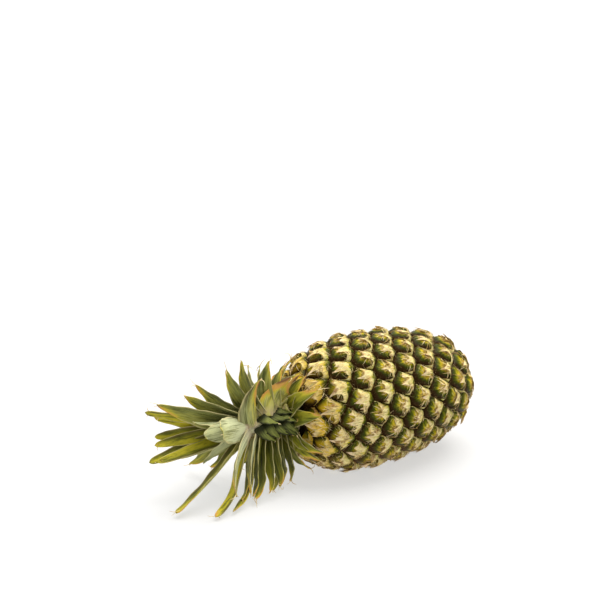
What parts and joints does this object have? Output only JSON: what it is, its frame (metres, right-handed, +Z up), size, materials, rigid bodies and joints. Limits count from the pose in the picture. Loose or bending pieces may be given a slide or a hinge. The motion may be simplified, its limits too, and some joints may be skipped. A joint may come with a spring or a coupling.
{
  "type": "pineapple",
  "caption": "Whole ripe pineapple lying on its side: blunt egg-shaped fruit with raised spiralling eyes, a crown of pointed leaves at one end and a short cut stalk at the other.",
  "frame": {"origin": "on the surface that the fruit lies on, under its widest section, in the middle of the lowest flat spot", "axes": "+Z up from the surface, +X along the fruit towards the cut stalk, the crown points to -X"},
  "size_m": [0.3174, 0.1246, 0.1169],
  "materials": {
    "fruit_skin": "waxy, half glossy, yellow-green eyes with dark grooves and pale bracts",
    "crown_leaf": "satin green with a pale bloom and dry tips",
    "cut_stalk": "matt, fibrous cut end"
  },
  "bodies": {
    "root": {"fruit": "fruit_skin", "crown": "crown_leaf", "stalk": "cut_stalk"}
  },
  "joints": []
}
